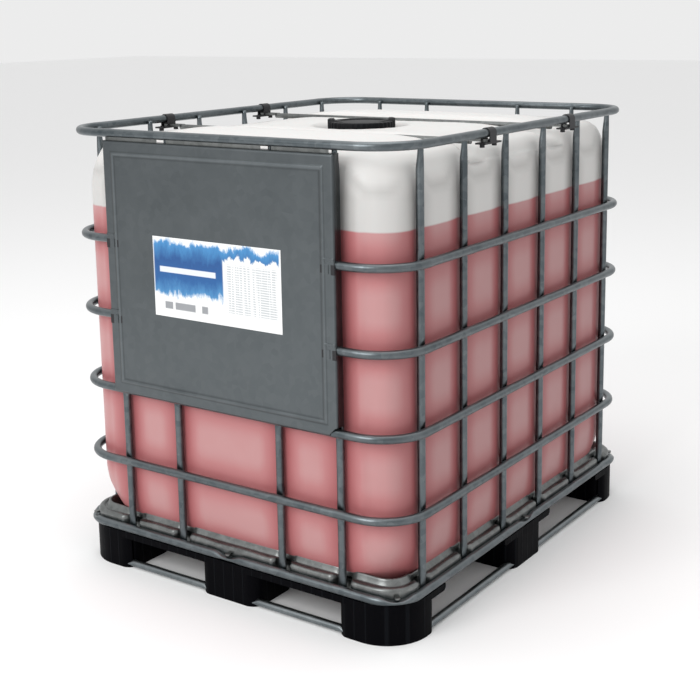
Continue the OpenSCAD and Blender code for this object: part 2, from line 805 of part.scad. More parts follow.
foot(-1, -1);  // foot_plate_left
foot(0, -1);  // foot_plate_middle
foot(1, -1);  // foot_plate_right
foot(-1, 0);  // foot_centre_left
foot(0, 0);  // foot_centre
foot(1, 0);  // foot_centre_right
foot(-1, 1);  // foot_valve_left
foot(0, 1);  // foot_valve_middle
foot(1, 1);  // foot_valve_right
board(-1);  // board_plate
board(0);  // board_centre
board(1);  // board_valve
runner_end(-1);  // runner_plate
runner_end(1);  // runner_valve
runner_long(-1);  // runner_left
runner_long(1);  // runner_right
deck_pan();
deck_screws();
base_ring();
top_rail();
for (i = [1 : cage_rings])
    cage_ring(i);
for (i = [1 : 4]) {
    on_side(0, end_post(i)) post();
    on_side(2, end_post(i)) post();
}
for (i = [1 : side_posts]) {
    on_side(3, side_post(i)) post();
    on_side(1, side_post(i)) post();
}
cross_bar(-1);  // cross_bar_plate
cross_bar(1);  // cross_bar_valve
bar_clamps();
clamp_bolts();
label_plate();
bottle();
fill_cap();
fill_cap_gasket();
outlet_nut();
outlet_gasket();
valve_body();
valve_disc();
valve_stem();
valve_handle();
dust_cap();
dust_cap_seal();
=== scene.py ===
"""Looks of a caged liquid container on a plastic and steel pallet.

Every length is in metres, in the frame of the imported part: +Z up, the label
plate on the -Y side, the outlet valve on the +Y side, the origin on the floor.
"""
import math

import bmesh
import bpy
import numpy as np
from mathutils import Matrix, Vector

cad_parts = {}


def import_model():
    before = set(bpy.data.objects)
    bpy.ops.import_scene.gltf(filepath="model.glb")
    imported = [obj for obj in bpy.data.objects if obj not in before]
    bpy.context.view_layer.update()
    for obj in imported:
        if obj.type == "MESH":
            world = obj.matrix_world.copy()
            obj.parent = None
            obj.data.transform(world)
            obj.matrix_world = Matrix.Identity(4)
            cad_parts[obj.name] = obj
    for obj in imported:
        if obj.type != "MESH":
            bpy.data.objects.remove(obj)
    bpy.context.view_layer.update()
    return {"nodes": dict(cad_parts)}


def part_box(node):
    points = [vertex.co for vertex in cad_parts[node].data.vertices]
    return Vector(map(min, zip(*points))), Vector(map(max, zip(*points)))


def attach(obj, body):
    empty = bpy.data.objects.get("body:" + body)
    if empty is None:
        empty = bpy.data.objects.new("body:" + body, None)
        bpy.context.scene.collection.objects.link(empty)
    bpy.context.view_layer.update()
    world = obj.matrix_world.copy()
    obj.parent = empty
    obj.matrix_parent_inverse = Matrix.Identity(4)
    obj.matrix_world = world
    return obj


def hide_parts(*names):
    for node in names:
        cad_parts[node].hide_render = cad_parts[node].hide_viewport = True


MM = 0.001
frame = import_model()

# ---- sizes read from the frame ----

RING_BOXES = [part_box(f"cage_ring_{i}") for i in range(1, 5)]
RAIL_LOW, RAIL_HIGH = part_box("top_rail")
BASE_LOW, BASE_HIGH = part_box("base_ring")
TUBE_R = (RAIL_HIGH.z - RAIL_LOW.z) / 2
RING_HX = RAIL_HIGH.x - TUBE_R
RING_HY = RAIL_HIGH.y - TUBE_R
RING_Z = [(low.z + high.z) / 2 for low, high in RING_BOXES]
RAIL_Z = (RAIL_LOW.z + RAIL_HIGH.z) / 2
BASE_HX = BASE_HIGH.x - TUBE_R
BASE_HY = BASE_HIGH.y - TUBE_R
BASE_Z = (BASE_LOW.z + BASE_HIGH.z) / 2
BOARD_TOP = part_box("board_centre")[1].z
RING_CORNER = 112 * MM
BASE_CORNER = 78 * MM


def middle(node):
    """Middle of a CAD node's box."""
    low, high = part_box(node)
    return (low + high) / 2


END_POST_X = [middle(f"post_plate_{i}").x for i in range(1, 5)]
SIDE_POST_Y = [middle(f"post_right_{i}").y for i in range(1, 7)]
RING_TO_POST = 16 * MM
POST_HX = RING_HX - RING_TO_POST
POST_HY = RING_HY - RING_TO_POST
POST_R = 9 * MM
BOTTLE_LOW, BOTTLE_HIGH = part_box("bottle")
PLATE_LOW, PLATE_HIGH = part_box("label_plate")
PLATE_MIDDLE_Z = (PLATE_HIGH.z + PLATE_LOW.z) / 2
CAP_LOW, CAP_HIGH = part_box("fill_cap")
LIQUID_Z = 0.915
# The bottle's shoulder and top are painted paler from this height up: a painted highlight.
TOP_HIGHLIGHT_Z = 0.985  # from here up the bottle turns paler
RUNNER_X = (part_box("runner_right")[0].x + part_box("runner_right")[1].x) / 2
RUNNER_Y = (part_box("runner_valve")[0].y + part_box("runner_valve")[1].y) / 2
STICKER = (-0.185, 0.193, 0.678, 0.867)  # left, right, low, high


# ---- small sums ----

def clamp(value):
    """Holds a value between 0 and 1."""
    return min(1, max(0, value))


def ease(value):
    """Smooth start and end for a value from 0 to 1."""
    value = clamp(value)
    return value * value * (3 - 2 * value)


def smooth_bump(distance, reach):
    """1 at no distance, falling smoothly to 0 at reach."""
    distance = abs(distance)
    return math.cos(distance / reach * math.pi) / 2 + 0.5 if distance < reach else 0.0


def flat_bump(distance, flat, reach):
    """1 up to a distance, then falling smoothly to 0 over reach."""
    return smooth_bump(max(0, distance - flat), reach)


# ---- materials ----

def wire(tree, *pairs):
    """Links output and input sockets in pairs."""
    for source, target in zip(pairs[::2], pairs[1::2]):
        tree.links.new(source, target)


def put(tree, kind, **values):
    """Adds a node; values set its properties."""
    made = tree.nodes.new(kind)
    for name, value in values.items():
        setattr(made, name, value)
    return made


def noise(tree, coords, scale, detail=4.0, roughness=0.55, stretch=(1, 1, 1)):
    """Noise over the given coordinates; returns its 0 to 1 output."""
    mapping = put(tree, "ShaderNodeMapping")
    mapping.inputs["Scale"].default_value = stretch
    made = put(tree, "ShaderNodeTexNoise")
    made.inputs["Scale"].default_value = scale
    made.inputs["Detail"].default_value = detail
    made.inputs["Roughness"].default_value = roughness
    wire(tree, coords, mapping.inputs["Vector"],
         mapping.outputs["Vector"], made.inputs["Vector"])
    return made.outputs["Fac"]


def ramp(tree, fac, stops):
    """Maps a 0 to 1 value over stops of (position, grey or colour)."""
    made = put(tree, "ShaderNodeValToRGB")
    elements = made.color_ramp.elements
    while len(elements) < len(stops):
        elements.new(0.5)
    for element, (position, value) in zip(elements, stops):
        element.position = position
        colour = value if hasattr(value, "__len__") else (value,) * 3
        element.color = (*colour[:3], 1)
    wire(tree, fac, made.inputs["Fac"])
    return made.outputs["Color"]


def window(tree, value, rise, full, fade, gone):
    """1 between full and fade, falling to 0 at rise and gone."""
    return ramp(tree, value, [(rise, 0), (full, 1), (fade, 1), (gone, 0)])


def feed(tree, value, place):
    """Links a socket, or sets a plain number or colour, on an input."""
    if isinstance(value, bpy.types.NodeSocket):
        wire(tree, value, place)
    elif hasattr(value, "__len__"):
        place.default_value = (*value[:3], 1)
    else:
        place.default_value = value


def mix(tree, fac, first, second, blend="MIX"):
    """Mixes two colours; each argument is a socket or a plain value."""
    made = put(tree, "ShaderNodeMix", data_type="RGBA", blend_type=blend)
    for value, place in zip((fac, first, second), (0, 6, 7)):
        feed(tree, value, made.inputs[place])
    return made.outputs[2]


def maths(tree, how, first, second=0.0, clamp=False):
    """One step of arithmetic on sockets or numbers."""
    made = put(tree, "ShaderNodeMath", operation=how, use_clamp=clamp)
    for value, place in zip((first, second), made.inputs):
        feed(tree, value, place)
    return made.outputs[0]


def scaled(tree, value, gain, start):
    """(value - start) x gain, held between 0 and 1."""
    made = maths(tree, "MULTIPLY_ADD", value, gain, clamp=True)
    made.node.inputs[2].default_value = -gain * start
    return made


def object_coords(tree):
    """Object coordinates as one vector."""
    return put(tree, "ShaderNodeTexCoord").outputs["Object"]


def split(tree, vector):
    """The X, Y and Z outputs of a vector."""
    made = put(tree, "ShaderNodeSeparateXYZ")
    wire(tree, vector, made.inputs[0])
    return made.outputs


def facing(tree):
    """The X, Y and Z of the surface normal."""
    return split(tree, put(tree, "ShaderNodeNewGeometry").outputs["Normal"])


def new_group(name, inputs, outputs):
    """An empty node group with its sockets: returns (group, input node, output node)."""
    group = bpy.data.node_groups.new(name, "ShaderNodeTree")
    for title, kind, default in inputs:
        made = group.interface.new_socket(title, in_out="INPUT", socket_type=kind)
        made.default_value = default
    for title, kind in outputs:
        group.interface.new_socket(title, in_out="OUTPUT", socket_type=kind)
    return group, put(group, "NodeGroupInput"), put(group, "NodeGroupOutput")


def zinc_group():
    """Galvanised steel: cloudy spangle, long soft streaks, dull rub marks, fine grain, and a
    painted highlight on faces that point up or down.
    """
    group, start, end = new_group(
        "zinc_surface",
        [("Dark", "NodeSocketColor", (0.05, 0.06, 0.07, 1)),
         ("Light", "NodeSocketColor", (0.12, 0.14, 0.15, 1)),
         ("Spangle size", "NodeSocketFloat", 60.0),
         ("Rub marks", "NodeSocketFloat", 0.3),
         ("Painted sheen", "NodeSocketFloat", 0.8)],
        [("Color", "NodeSocketColor"), ("Roughness", "NodeSocketFloat"),
         ("Height", "NodeSocketFloat")])
    coords = object_coords(group)
    spangle = put(group, "ShaderNodeTexVoronoi")
    wire(group, coords, spangle.inputs["Vector"],
         start.outputs["Spangle size"], spangle.inputs["Scale"])
    clouds = noise(group, coords, 9, 5)
    grain = noise(group, coords, 420, 2)
    rubs = ramp(group, noise(group, coords, 34, 6, 0.7), [(0.52, 0), (0.74, 1)])
    tone = maths(group, "MULTIPLY", spangle.outputs["Color"], 0.35)
    tone = maths(group, "ADD", tone, maths(group, "MULTIPLY", clouds, 0.75))
    colour = mix(group, maths(group, "SUBTRACT", tone, 0.12, clamp=True),
                 start.outputs["Dark"], start.outputs["Light"])
    worn = maths(group, "MULTIPLY", rubs, start.outputs["Rub marks"])
    colour = mix(group, worn, colour, start.outputs["Light"])
    # Painted highlight: faces that point up or down are lightened towards Light, standing in
    # for the bright air and floor they would reflect.
    rim = ramp(group, maths(group, "ABSOLUTE", facing(group)["Z"]), [(0.45, 0), (0.9, 1)])
    rim = maths(group, "MULTIPLY", rim, start.outputs["Painted sheen"])
    colour = mix(group, rim, colour, start.outputs["Light"])
    rough = maths(group, "ADD", maths(group, "MULTIPLY", clouds, 0.22), 0.24)
    rough = maths(group, "ADD", rough, maths(group, "MULTIPLY", worn, 0.25))
    height = maths(group, "ADD", maths(group, "MULTIPLY", grain, 0.35),
                   maths(group, "MULTIPLY", clouds, 0.6))
    wire(group, colour, end.inputs["Color"], rough, end.inputs["Roughness"],
         height, end.inputs["Height"])
    return group


def moulded_group():
    """Moulded plastic: soft mottling, fine grain, scuffs and settled dust on upper faces."""
    group, start, end = new_group(
        "moulded_surface",
        [("Base", "NodeSocketColor", (0.01, 0.01, 0.012, 1)),
         ("Scuff", "NodeSocketColor", (0.05, 0.05, 0.055, 1)),
         ("Scuffs", "NodeSocketFloat", 0.4),
         ("Dust", "NodeSocketFloat", 0.1)],
        [("Color", "NodeSocketColor"), ("Roughness", "NodeSocketFloat"),
         ("Height", "NodeSocketFloat")])
    coords = object_coords(group)
    mottle = noise(group, coords, 14, 4)
    grain = noise(group, coords, 700, 2)
    marks = ramp(group, noise(group, coords, 45, 8, 0.75, (1, 1, 0.35)),
                 [(0.56, 0), (0.72, 1)])
    upward = ramp(group, facing(group)["Z"], [(0.55, 0), (1.0, 1)])
    dusty = maths(group, "MULTIPLY", maths(group, "MULTIPLY", upward, mottle),
                  start.outputs["Dust"])
    scuffed = maths(group, "MULTIPLY", marks, start.outputs["Scuffs"])
    colour = mix(group, scuffed, start.outputs["Base"], start.outputs["Scuff"])
    colour = mix(group, dusty, colour, (0.32, 0.31, 0.29))
    rough = maths(group, "ADD", maths(group, "MULTIPLY", mottle, 0.25), 0.36)
    rough = maths(group, "ADD", rough, maths(group, "MULTIPLY", scuffed, 0.3))
    height = maths(group, "ADD", grain, maths(group, "MULTIPLY", marks, 0.4))
    wire(group, colour, end.inputs["Color"], rough, end.inputs["Roughness"],
         height, end.inputs["Height"])
    return group


ZINC = zinc_group()
MOULDED = moulded_group()


def new_material(name):
    """A material with its Principled shader: returns (material, tree, shader)."""
    made = bpy.data.materials.new(name)
    made.use_nodes = True
    return made, made.node_tree, made.node_tree.nodes["Principled BSDF"]


def bump(tree, shader, height, strength, distance):
    """Feeds a height to the shader's normal, over any bump that is there already."""
    made = put(tree, "ShaderNodeBump")
    made.inputs["Strength"].default_value = strength
    made.inputs["Distance"].default_value = distance
    if shader.inputs["Normal"].is_linked:
        wire(tree, before(shader, "Normal"), made.inputs["Normal"])
    wire(tree, height, made.inputs["Height"], made.outputs["Normal"], shader.inputs["Normal"])


def from_group(name, group, values, metallic, strength, distance, **shader_values):
    """A material whose colour, roughness and bump come from one surface group."""
    made, tree, shader = new_material(name)
    surface = put(tree, "ShaderNodeGroup", node_tree=group)
    for title, value in values.items():
        surface.inputs[title].default_value = value
    shader.inputs["Metallic"].default_value = metallic
    for title, value in shader_values.items():
        shader.inputs[title.replace("_", " ")].default_value = value
    wire(tree, surface.outputs["Color"], shader.inputs["Base Color"],
         surface.outputs["Roughness"], shader.inputs["Roughness"])
    bump(tree, shader, surface.outputs["Height"], strength, distance)
    return made


def before(shader, title):
    """The socket that feeds one of the shader's inputs now."""
    return shader.inputs[title].links[0].from_socket


def steel(name, dark, light, size, rubs, strength=0.25, rim=0.8):
    """Galvanised steel in a given shade; rim sets the strength of its painted highlight on
    faces that point up or down.
    """
    return from_group(name, ZINC, {"Dark": (*dark, 1), "Light": (*light, 1),
                                   "Spangle size": size, "Rub marks": rubs, "Painted sheen": rim},
                      1.0, strength, 0.4 * MM)


def plastic(name, base, scuff, scuffs, dust, strength=0.2, **shader_values):
    """Moulded plastic in a given shade."""
    return from_group(name, MOULDED, {"Base": (*base, 1), "Scuff": (*scuff, 1),
                                      "Scuffs": scuffs, "Dust": dust},
                      0.0, strength, 0.3 * MM, **shader_values)


# Each steel's rim sets its painted highlight on faces that point up or down.
CAGE_STEEL = steel("cage_steel", (0.046, 0.060, 0.068), (0.20, 0.22, 0.23), 70, 0.25)
BRIGHT_STEEL = steel("bright_steel", (0.085, 0.09, 0.09), (0.27, 0.28, 0.275), 80, 0.5,
                     rim=0.1)
PLATE_STEEL = steel("plate_steel", (0.093, 0.105, 0.111), (0.13, 0.143, 0.15), 60, 0.08, 0.08)
BLACK_PLASTIC = plastic("black_plastic", (0.0012, 0.0012, 0.002), (0.004, 0.004, 0.005),
                        0.5, 0.0, Specular_IOR_Level=0.03)
DARK_FITTINGS = plastic("dark_fittings", (0.009, 0.009, 0.011), (0.03, 0.03, 0.034),
                        0.4, 0.12, Specular_IOR_Level=0.4)
RED_PLASTIC = plastic("red_plastic", (0.36, 0.016, 0.012), (0.5, 0.09, 0.07), 0.35, 0.1)
CAP_PLASTIC = plastic("cap_plastic", (0.001, 0.0015, 0.003), (0.006, 0.007, 0.010),
                      0.35, 0.01, Specular_IOR_Level=0.18)
RUNNER_STEEL = steel("runner_steel", (0.10, 0.12, 0.13), (0.26, 0.28, 0.29), 80, 0.4)
SEAL_RUBBER = plastic("seal_rubber", (0.045, 0.045, 0.045), (0.09, 0.09, 0.09), 0.5, 0.2)


def mark_moulded_ribs(made, pitch, depth):
    """Adds faint upright ribs at an even pitch round a moulded piece, with a painted highlight
    along them.
    """
    tree = made.node_tree
    shader = tree.nodes["Principled BSDF"]
    place = split(tree, object_coords(tree))
    around = maths(tree, "SUBTRACT", place["X"], place["Y"])
    step = maths(tree, "FRACT", maths(tree, "MULTIPLY", around, 1 / pitch))
    rib = window(tree, step, 0.0, 0.03, 0.10, 0.13)
    bump(tree, shader, rib, 0.8, depth)
    # The ribs are also painted a little paler: a painted highlight along them.
    colour = mix(tree, maths(tree, "MULTIPLY", rib, 0.6), before(shader, "Base Color"),
                 (0.006, 0.007, 0.009))
    wire(tree, colour, shader.inputs["Base Color"])


BORDER_REACH = 60 * MM  # from the plate's edge to where the border's lines end


def press_plate_border(made):
    """Deepens the plate's pressed border in its bump, and darkens the lines either side:
    painted shade and painted highlight along the pressed ridge, and painted shade at the outer
    edge.
    """
    tree = made.node_tree
    shader = tree.nodes["Principled BSDF"]
    place = split(tree, object_coords(tree))
    across = maths(tree, "SUBTRACT", PLATE_HIGH.x, maths(tree, "ABSOLUTE", place["X"]))
    level = maths(tree, "ABSOLUTE", maths(tree, "SUBTRACT", place["Z"], PLATE_MIDDLE_Z))
    up = maths(tree, "SUBTRACT", PLATE_HIGH.z - PLATE_MIDDLE_Z, level)
    inset = maths(tree, "MULTIPLY", maths(tree, "MINIMUM", across, up), 1 / BORDER_REACH)
    height = ramp(tree, inset, [(0.0, 0), (0.10, 0.45), (0.40, 0.45), (0.5, 1.0), (0.6, 0.3),
                                (0.66, 0.3)])
    # Painted light: darker at the outer edge and in two lines, brighter between them, as shade
    # and highlight along the pressed ridge.
    lines = ramp(tree, inset, [(0.0, 0.6), (0.07, 1), (0.38, 1), (0.43, 0.72), (0.48, 1.15),
                               (0.54, 1.15), (0.6, 0.72), (0.68, 1)])
    bump(tree, shader, height, 0.6, 3 * MM)
    wire(tree, mix(tree, 1.0, before(shader, "Base Color"), lines, "MULTIPLY"),
         shader.inputs["Base Color"])


press_plate_border(PLATE_STEEL)
mark_moulded_ribs(BLACK_PLASTIC, 29 * MM, 1.5 * MM)


def bottle_material():
    """Translucent bottle: liquid showing through up to its level, pale air space above, with
    painted highlights mid-cell and on the top, and painted shade near posts and rings and on
    the side faces.
    """
    made, tree, shader = new_material("bottle_plastic")
    coords = object_coords(tree)
    place = split(tree, coords)
    # This attribute is painted light: near 1 mid-cell, lower near posts, rings and the
    # shoulder crease.
    painted_cell_light = put(tree, "ShaderNodeAttribute", attribute_name="painted_cell_light").outputs["Fac"]
    cloudy = noise(tree, coords, 5, 3)
    drift = maths(tree, "MULTIPLY", maths(tree, "SUBTRACT", cloudy, 0.5), 0.35)
    tone = maths(tree, "ADD", painted_cell_light, drift, clamp=True)
    # The liquid and air-space ramps turn that painted light into colour: darker tones are
    # painted shade, paler ones a painted highlight; drift adds real random tone.
    liquid = ramp(tree, tone, [(0.0, (0.345, 0.104, 0.110)), (0.35, (0.395, 0.137, 0.142)),
                               (0.7, (0.43, 0.176, 0.18)), (1.0, (0.46, 0.24, 0.24))])
    empty = ramp(tree, tone, [(0.0, (0.36, 0.352, 0.342)), (0.5, (0.45, 0.442, 0.43)),
                              (1.0, (0.52, 0.512, 0.50))])
    wave = maths(tree, "MULTIPLY", maths(tree, "SUBTRACT", noise(tree, coords, 3, 2), 0.5),
                 4 * MM)
    above = scaled(tree, maths(tree, "ADD", place["Z"], wave), 250.0, LIQUID_Z)
    # Painted highlight: from this height up the colour turns paler towards the top.
    empty = mix(tree, scaled(tree, place["Z"], 9.0, TOP_HIGHLIGHT_Z), empty, (0.68, 0.67, 0.655))
    # Painted shade: the faces turned along X are darkened.
    sides = ramp(tree, maths(tree, "ABSOLUTE", facing(tree)["X"]), [(0.5, 1.0), (0.95, 0.84)])
    liquid = mix(tree, 1.0, liquid, sides, "MULTIPLY")
    wire(tree, mix(tree, above, liquid, empty), shader.inputs["Base Color"])
    rough = maths(tree, "ADD", maths(tree, "MULTIPLY", cloudy, 0.15), 0.30)
    wire(tree, rough, shader.inputs["Roughness"])
    ripple = maths(tree, "ADD", maths(tree, "MULTIPLY", noise(tree, coords, 7, 2), 1.0),
                   maths(tree, "MULTIPLY", noise(tree, coords, 260, 2), 0.02))
    bump(tree, shader, ripple, 0.3, 3 * MM)
    shader.inputs["Subsurface Weight"].default_value = 0.15
    shader.inputs["Subsurface Radius"].default_value = (0.03, 0.02, 0.02)
    shader.inputs["Specular IOR Level"].default_value = 0.25
    shader.inputs["Coat Weight"].default_value = 0.05
    shader.inputs["Coat Roughness"].default_value = 0.25
    return made


BOTTLE_PLASTIC = bottle_material()


# ---- making pieces ----

def piece(name, bm, material, body, replaces=(), smooth=True, doubles=0.02 * MM):
    """Turns a bmesh into a finished piece that rides on a body."""
    if doubles:
        bmesh.ops.remove_doubles(bm, verts=bm.verts, dist=doubles)
    bmesh.ops.recalc_face_normals(bm, faces=bm.faces)
    mesh = bpy.data.meshes.new(name)
    for face in bm.faces:
        face.smooth = smooth
    bm.to_mesh(mesh)
    bm.free()
    made = bpy.data.objects.new(name, mesh)
    bpy.context.scene.collection.objects.link(made)
    mesh.materials.append(material)
    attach(made, body)
    if replaces:
        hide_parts(*replaces)
    return made


def flagged(geometry, kind):
    """The elements of one kind in an operator's result."""
    return [g for g in geometry if isinstance(g, kind)]


def push_edges(bm, edges, offset):
    """Extrudes an edge loop and moves it; returns the new loop."""
    made = bmesh.ops.extrude_edge_only(bm, edges=edges)["geom"]
    verts = flagged(made, bmesh.types.BMVert)
    bmesh.ops.translate(bm, verts=verts, vec=offset)
    kept = set(verts)
    return [e for e in flagged(made, bmesh.types.BMEdge)
            if e.verts[0] in kept and e.verts[1] in kept]


def push_along(bm, edges, offset, step):
    """Extrudes an edge loop along a straight run in even steps."""
    offset = Vector(offset)
    count = max(1, round(offset.length / step))
    for _ in range(count):
        edges = push_edges(bm, edges, offset / count)
    return edges


def turn_edges(bm, edges, centre, steps):
    """Spins an edge loop a quarter turn about an upright axis."""
    verts = list({v for e in edges for v in e.verts})
    made = bmesh.ops.spin(bm, geom=verts + list(edges), cent=centre, axis=(0, 0, 1),
                          angle=math.pi / 2, steps=steps, use_merge=False,
                          use_duplicate=False)["geom_last"]
    return flagged(made, bmesh.types.BMEdge)


def around_frame(bm, edges, hx, hy, corner, step=8 * MM, corner_steps=14):
    """Carries a profile that starts at x = hx, y = corner - hy once round a rounded frame."""
    a, b = hx - corner, hy - corner
    for offset, centre in (((0, 2 * b, 0), (a, b, 0)), ((-2 * a, 0, 0), (-a, b, 0)),
                           ((0, -2 * b, 0), (-a, -b, 0)), ((2 * a, 0, 0), (a, -b, 0))):
        edges = push_along(bm, edges, offset, step)
        edges = turn_edges(bm, edges, centre, corner_steps)


def chain(bm, points):
    """A chain of edges through the points, made by extruding one vertex."""
    verts = bmesh.ops.create_vert(bm, co=points[0])["vert"]
    edges = []
    for start, end in zip(points, points[1:]):
        made = bmesh.ops.extrude_vert_indiv(bm, verts=verts)
        verts = made["verts"]
        edges += made["edges"]
        bmesh.ops.translate(bm, verts=verts, vec=Vector(end) - Vector(start))
    return edges


def arc(cx, cz, radius, start, end, count):
    """Points on an arc in a profile plane, angles in degrees."""
    return [(cx + radius * math.cos(math.radians(t)), cz + radius * math.sin(math.radians(t)))
            for t in np.linspace(start, end, count)]


def box_into(bm, low, high, bevel=0.6 * MM, segments=2):
    """Adds a box with rounded edges."""
    low, high = Vector(low), Vector(high)
    size, centre = high - low, (high + low) / 2
    place = Matrix.Translation(centre) @ Matrix.Diagonal((*size, 1))
    made = bmesh.ops.create_cube(bm, size=1, matrix=place)["verts"]
    edges = list({e for v in made for e in v.link_edges})
    bmesh.ops.bevel(bm, geom=edges, offset=bevel, offset_type="OFFSET", segments=segments,
                    profile=0.5, affect="EDGES", material=-1, clamp_overlap=True)


def rod_into(bm, start, end, radius, sides, step):
    """Adds a closed rod between two points, cut into even steps."""
    start, end = Vector(start), Vector(end)
    turn = (end - start).to_track_quat("Z", "Y").to_matrix().to_4x4()
    ring = bmesh.ops.create_circle(bm, cap_ends=False, segments=sides, radius=radius,
                                   matrix=Matrix.Translation(start) @ turn)["verts"]
    first = list({e for v in ring for e in v.link_edges})
    last = push_along(bm, first, end - start, step)
    for loop in (first, last):
        bmesh.ops.edgeloop_fill(bm, edges=loop)


# ---- cage tubes ----

def post_crossings():
    """Where the posts cross a frame tube: (axis along the tube, side, place)."""
    ends = [(0, side, x) for side in (-1, 1) for x in END_POST_X]
    return ends + [(1, side, y) for side in (-1, 1) for y in SIDE_POST_Y]


def frame_tube(name, hx, hy, z, corner, node, dent=2.6 * MM, pinches=(), widen=0.06):
    """A tube bent round the cage, pressed flat where the posts are welded to it."""
    radius = TUBE_R
    bm = bmesh.new()
    place = Matrix.Translation((hx, corner - hy, z)) @ Matrix.Rotation(math.pi / 2, 4, "X")
    ring = bmesh.ops.create_circle(bm, segments=22, radius=radius, matrix=place)["verts"]
    edges = list({e for v in ring for e in v.link_edges})
    around_frame(bm, edges, hx, hy, corner)
    crossings = post_crossings()
    for v in bm.verts:
        for axis, side, spot in crossings:
            run, out, half = (v.co.x, v.co.y, hy) if axis == 0 else (v.co.y, v.co.x, hx)
            if out * side < half - 3 * radius or abs(run - spot) > 26 * MM:
                continue
            press = flat_bump(abs(run - spot), 5 * MM, 20 * MM)
            inward = half - out * side
            if inward > 0 and press > 0:
                inward = min(inward, radius - 1.7 * dent * press)
            else:
                inward = inward * (1 - widen * press)
            out = side * (half - inward)
            v.co = (v.co.x, out, v.co.z) if axis == 0 else (out, v.co.y, v.co.z)
            v.co.z = z + (v.co.z - z) * (1 + widen * press)
        for px, py in pinches:
            near = math.hypot(v.co.x - px, v.co.y - py)
            if near < 45 * MM:
                press = flat_bump(near, 9 * MM, 34 * MM)
                v.co.z = z + (v.co.z - z) * (1 - 0.55 * press) - 2.5 * MM * press
    piece(name, bm, CAGE_STEEL, "frame", [node])


def make_posts():
    """Upright tubes: dented at each ring, drawn in at the rail, flattened at the base."""
    spots = [(f"post_{end}_{i}", x, side * POST_HY, True)
             for end, side in (("plate", -1), ("valve", 1))
             for i, x in enumerate(END_POST_X, 1)]
    spots += [(f"post_{end}_{i}", side * POST_HX, y, False)
              for end, side in (("left", -1), ("right", 1))
              for i, y in enumerate(SIDE_POST_Y, 1)]
    for node, x, y, on_end in spots:
        low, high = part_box(node)
        bm = bmesh.new()
        rod_into(bm, (0, 0, low.z), (0, 0, high.z), POST_R, 20, 7 * MM)
        sign = -1 if (y if on_end else x) < 0 else 1
        for v in bm.verts:
            out, run = v.co.y, v.co.x
            for ring_z in RING_Z:
                press = flat_bump(abs(v.co.z - ring_z), 7 * MM, 22 * MM)
                if press > 0:
                    out = min(out, POST_R - 3.4 * MM * press)
                    run *= 1 + 0.13 * press
            top = ease(1 - clamp((RAIL_Z - 8 * MM - v.co.z) / (52 * MM)))
            run *= 1 - 0.38 * top
            out = out * (1 - 0.25 * top) + 2.0 * MM * top
            foot = ease(1 - clamp((v.co.z - BASE_Z - 6 * MM) / (34 * MM)))
            run *= 1 + 0.28 * foot
            out = out * (1 - 0.5 * foot) + 1.2 * MM * foot
            if on_end:
                v.co = (x + run, y + sign * out, v.co.z)
            else:
                v.co = (x + sign * out, y + run, v.co.z)
        piece(node + "_tube", bm, CAGE_STEEL, "frame", [node])


def make_cage():
    """Four rings, the rail, the base ring with its pinched spots, and the posts."""
    for i, z in enumerate(RING_Z, 1):
        frame_tube(f"ring_{i}_tube", RING_HX, RING_HY, z, RING_CORNER, f"cage_ring_{i}")
    frame_tube("rail_tube", RING_HX, RING_HY, RAIL_Z, RING_CORNER, "top_rail", dent=0.8 * MM,
               widen=0.02)
    diagonal = BASE_CORNER * (1 - math.sqrt(0.5))
    pinches = [(sx * (BASE_HX - diagonal), sy * (BASE_HY - diagonal))
               for sx in (-1, 1) for sy in (-1, 1)]
    pinches += [(0, BASE_HY), (0, -BASE_HY), (BASE_HX, 0), (-BASE_HX, 0)]
    frame_tube("base_tube", BASE_HX, BASE_HY, BASE_Z, BASE_CORNER, "base_ring",
               dent=1.5 * MM, pinches=pinches)
    make_posts()


# ---- deck pan ----

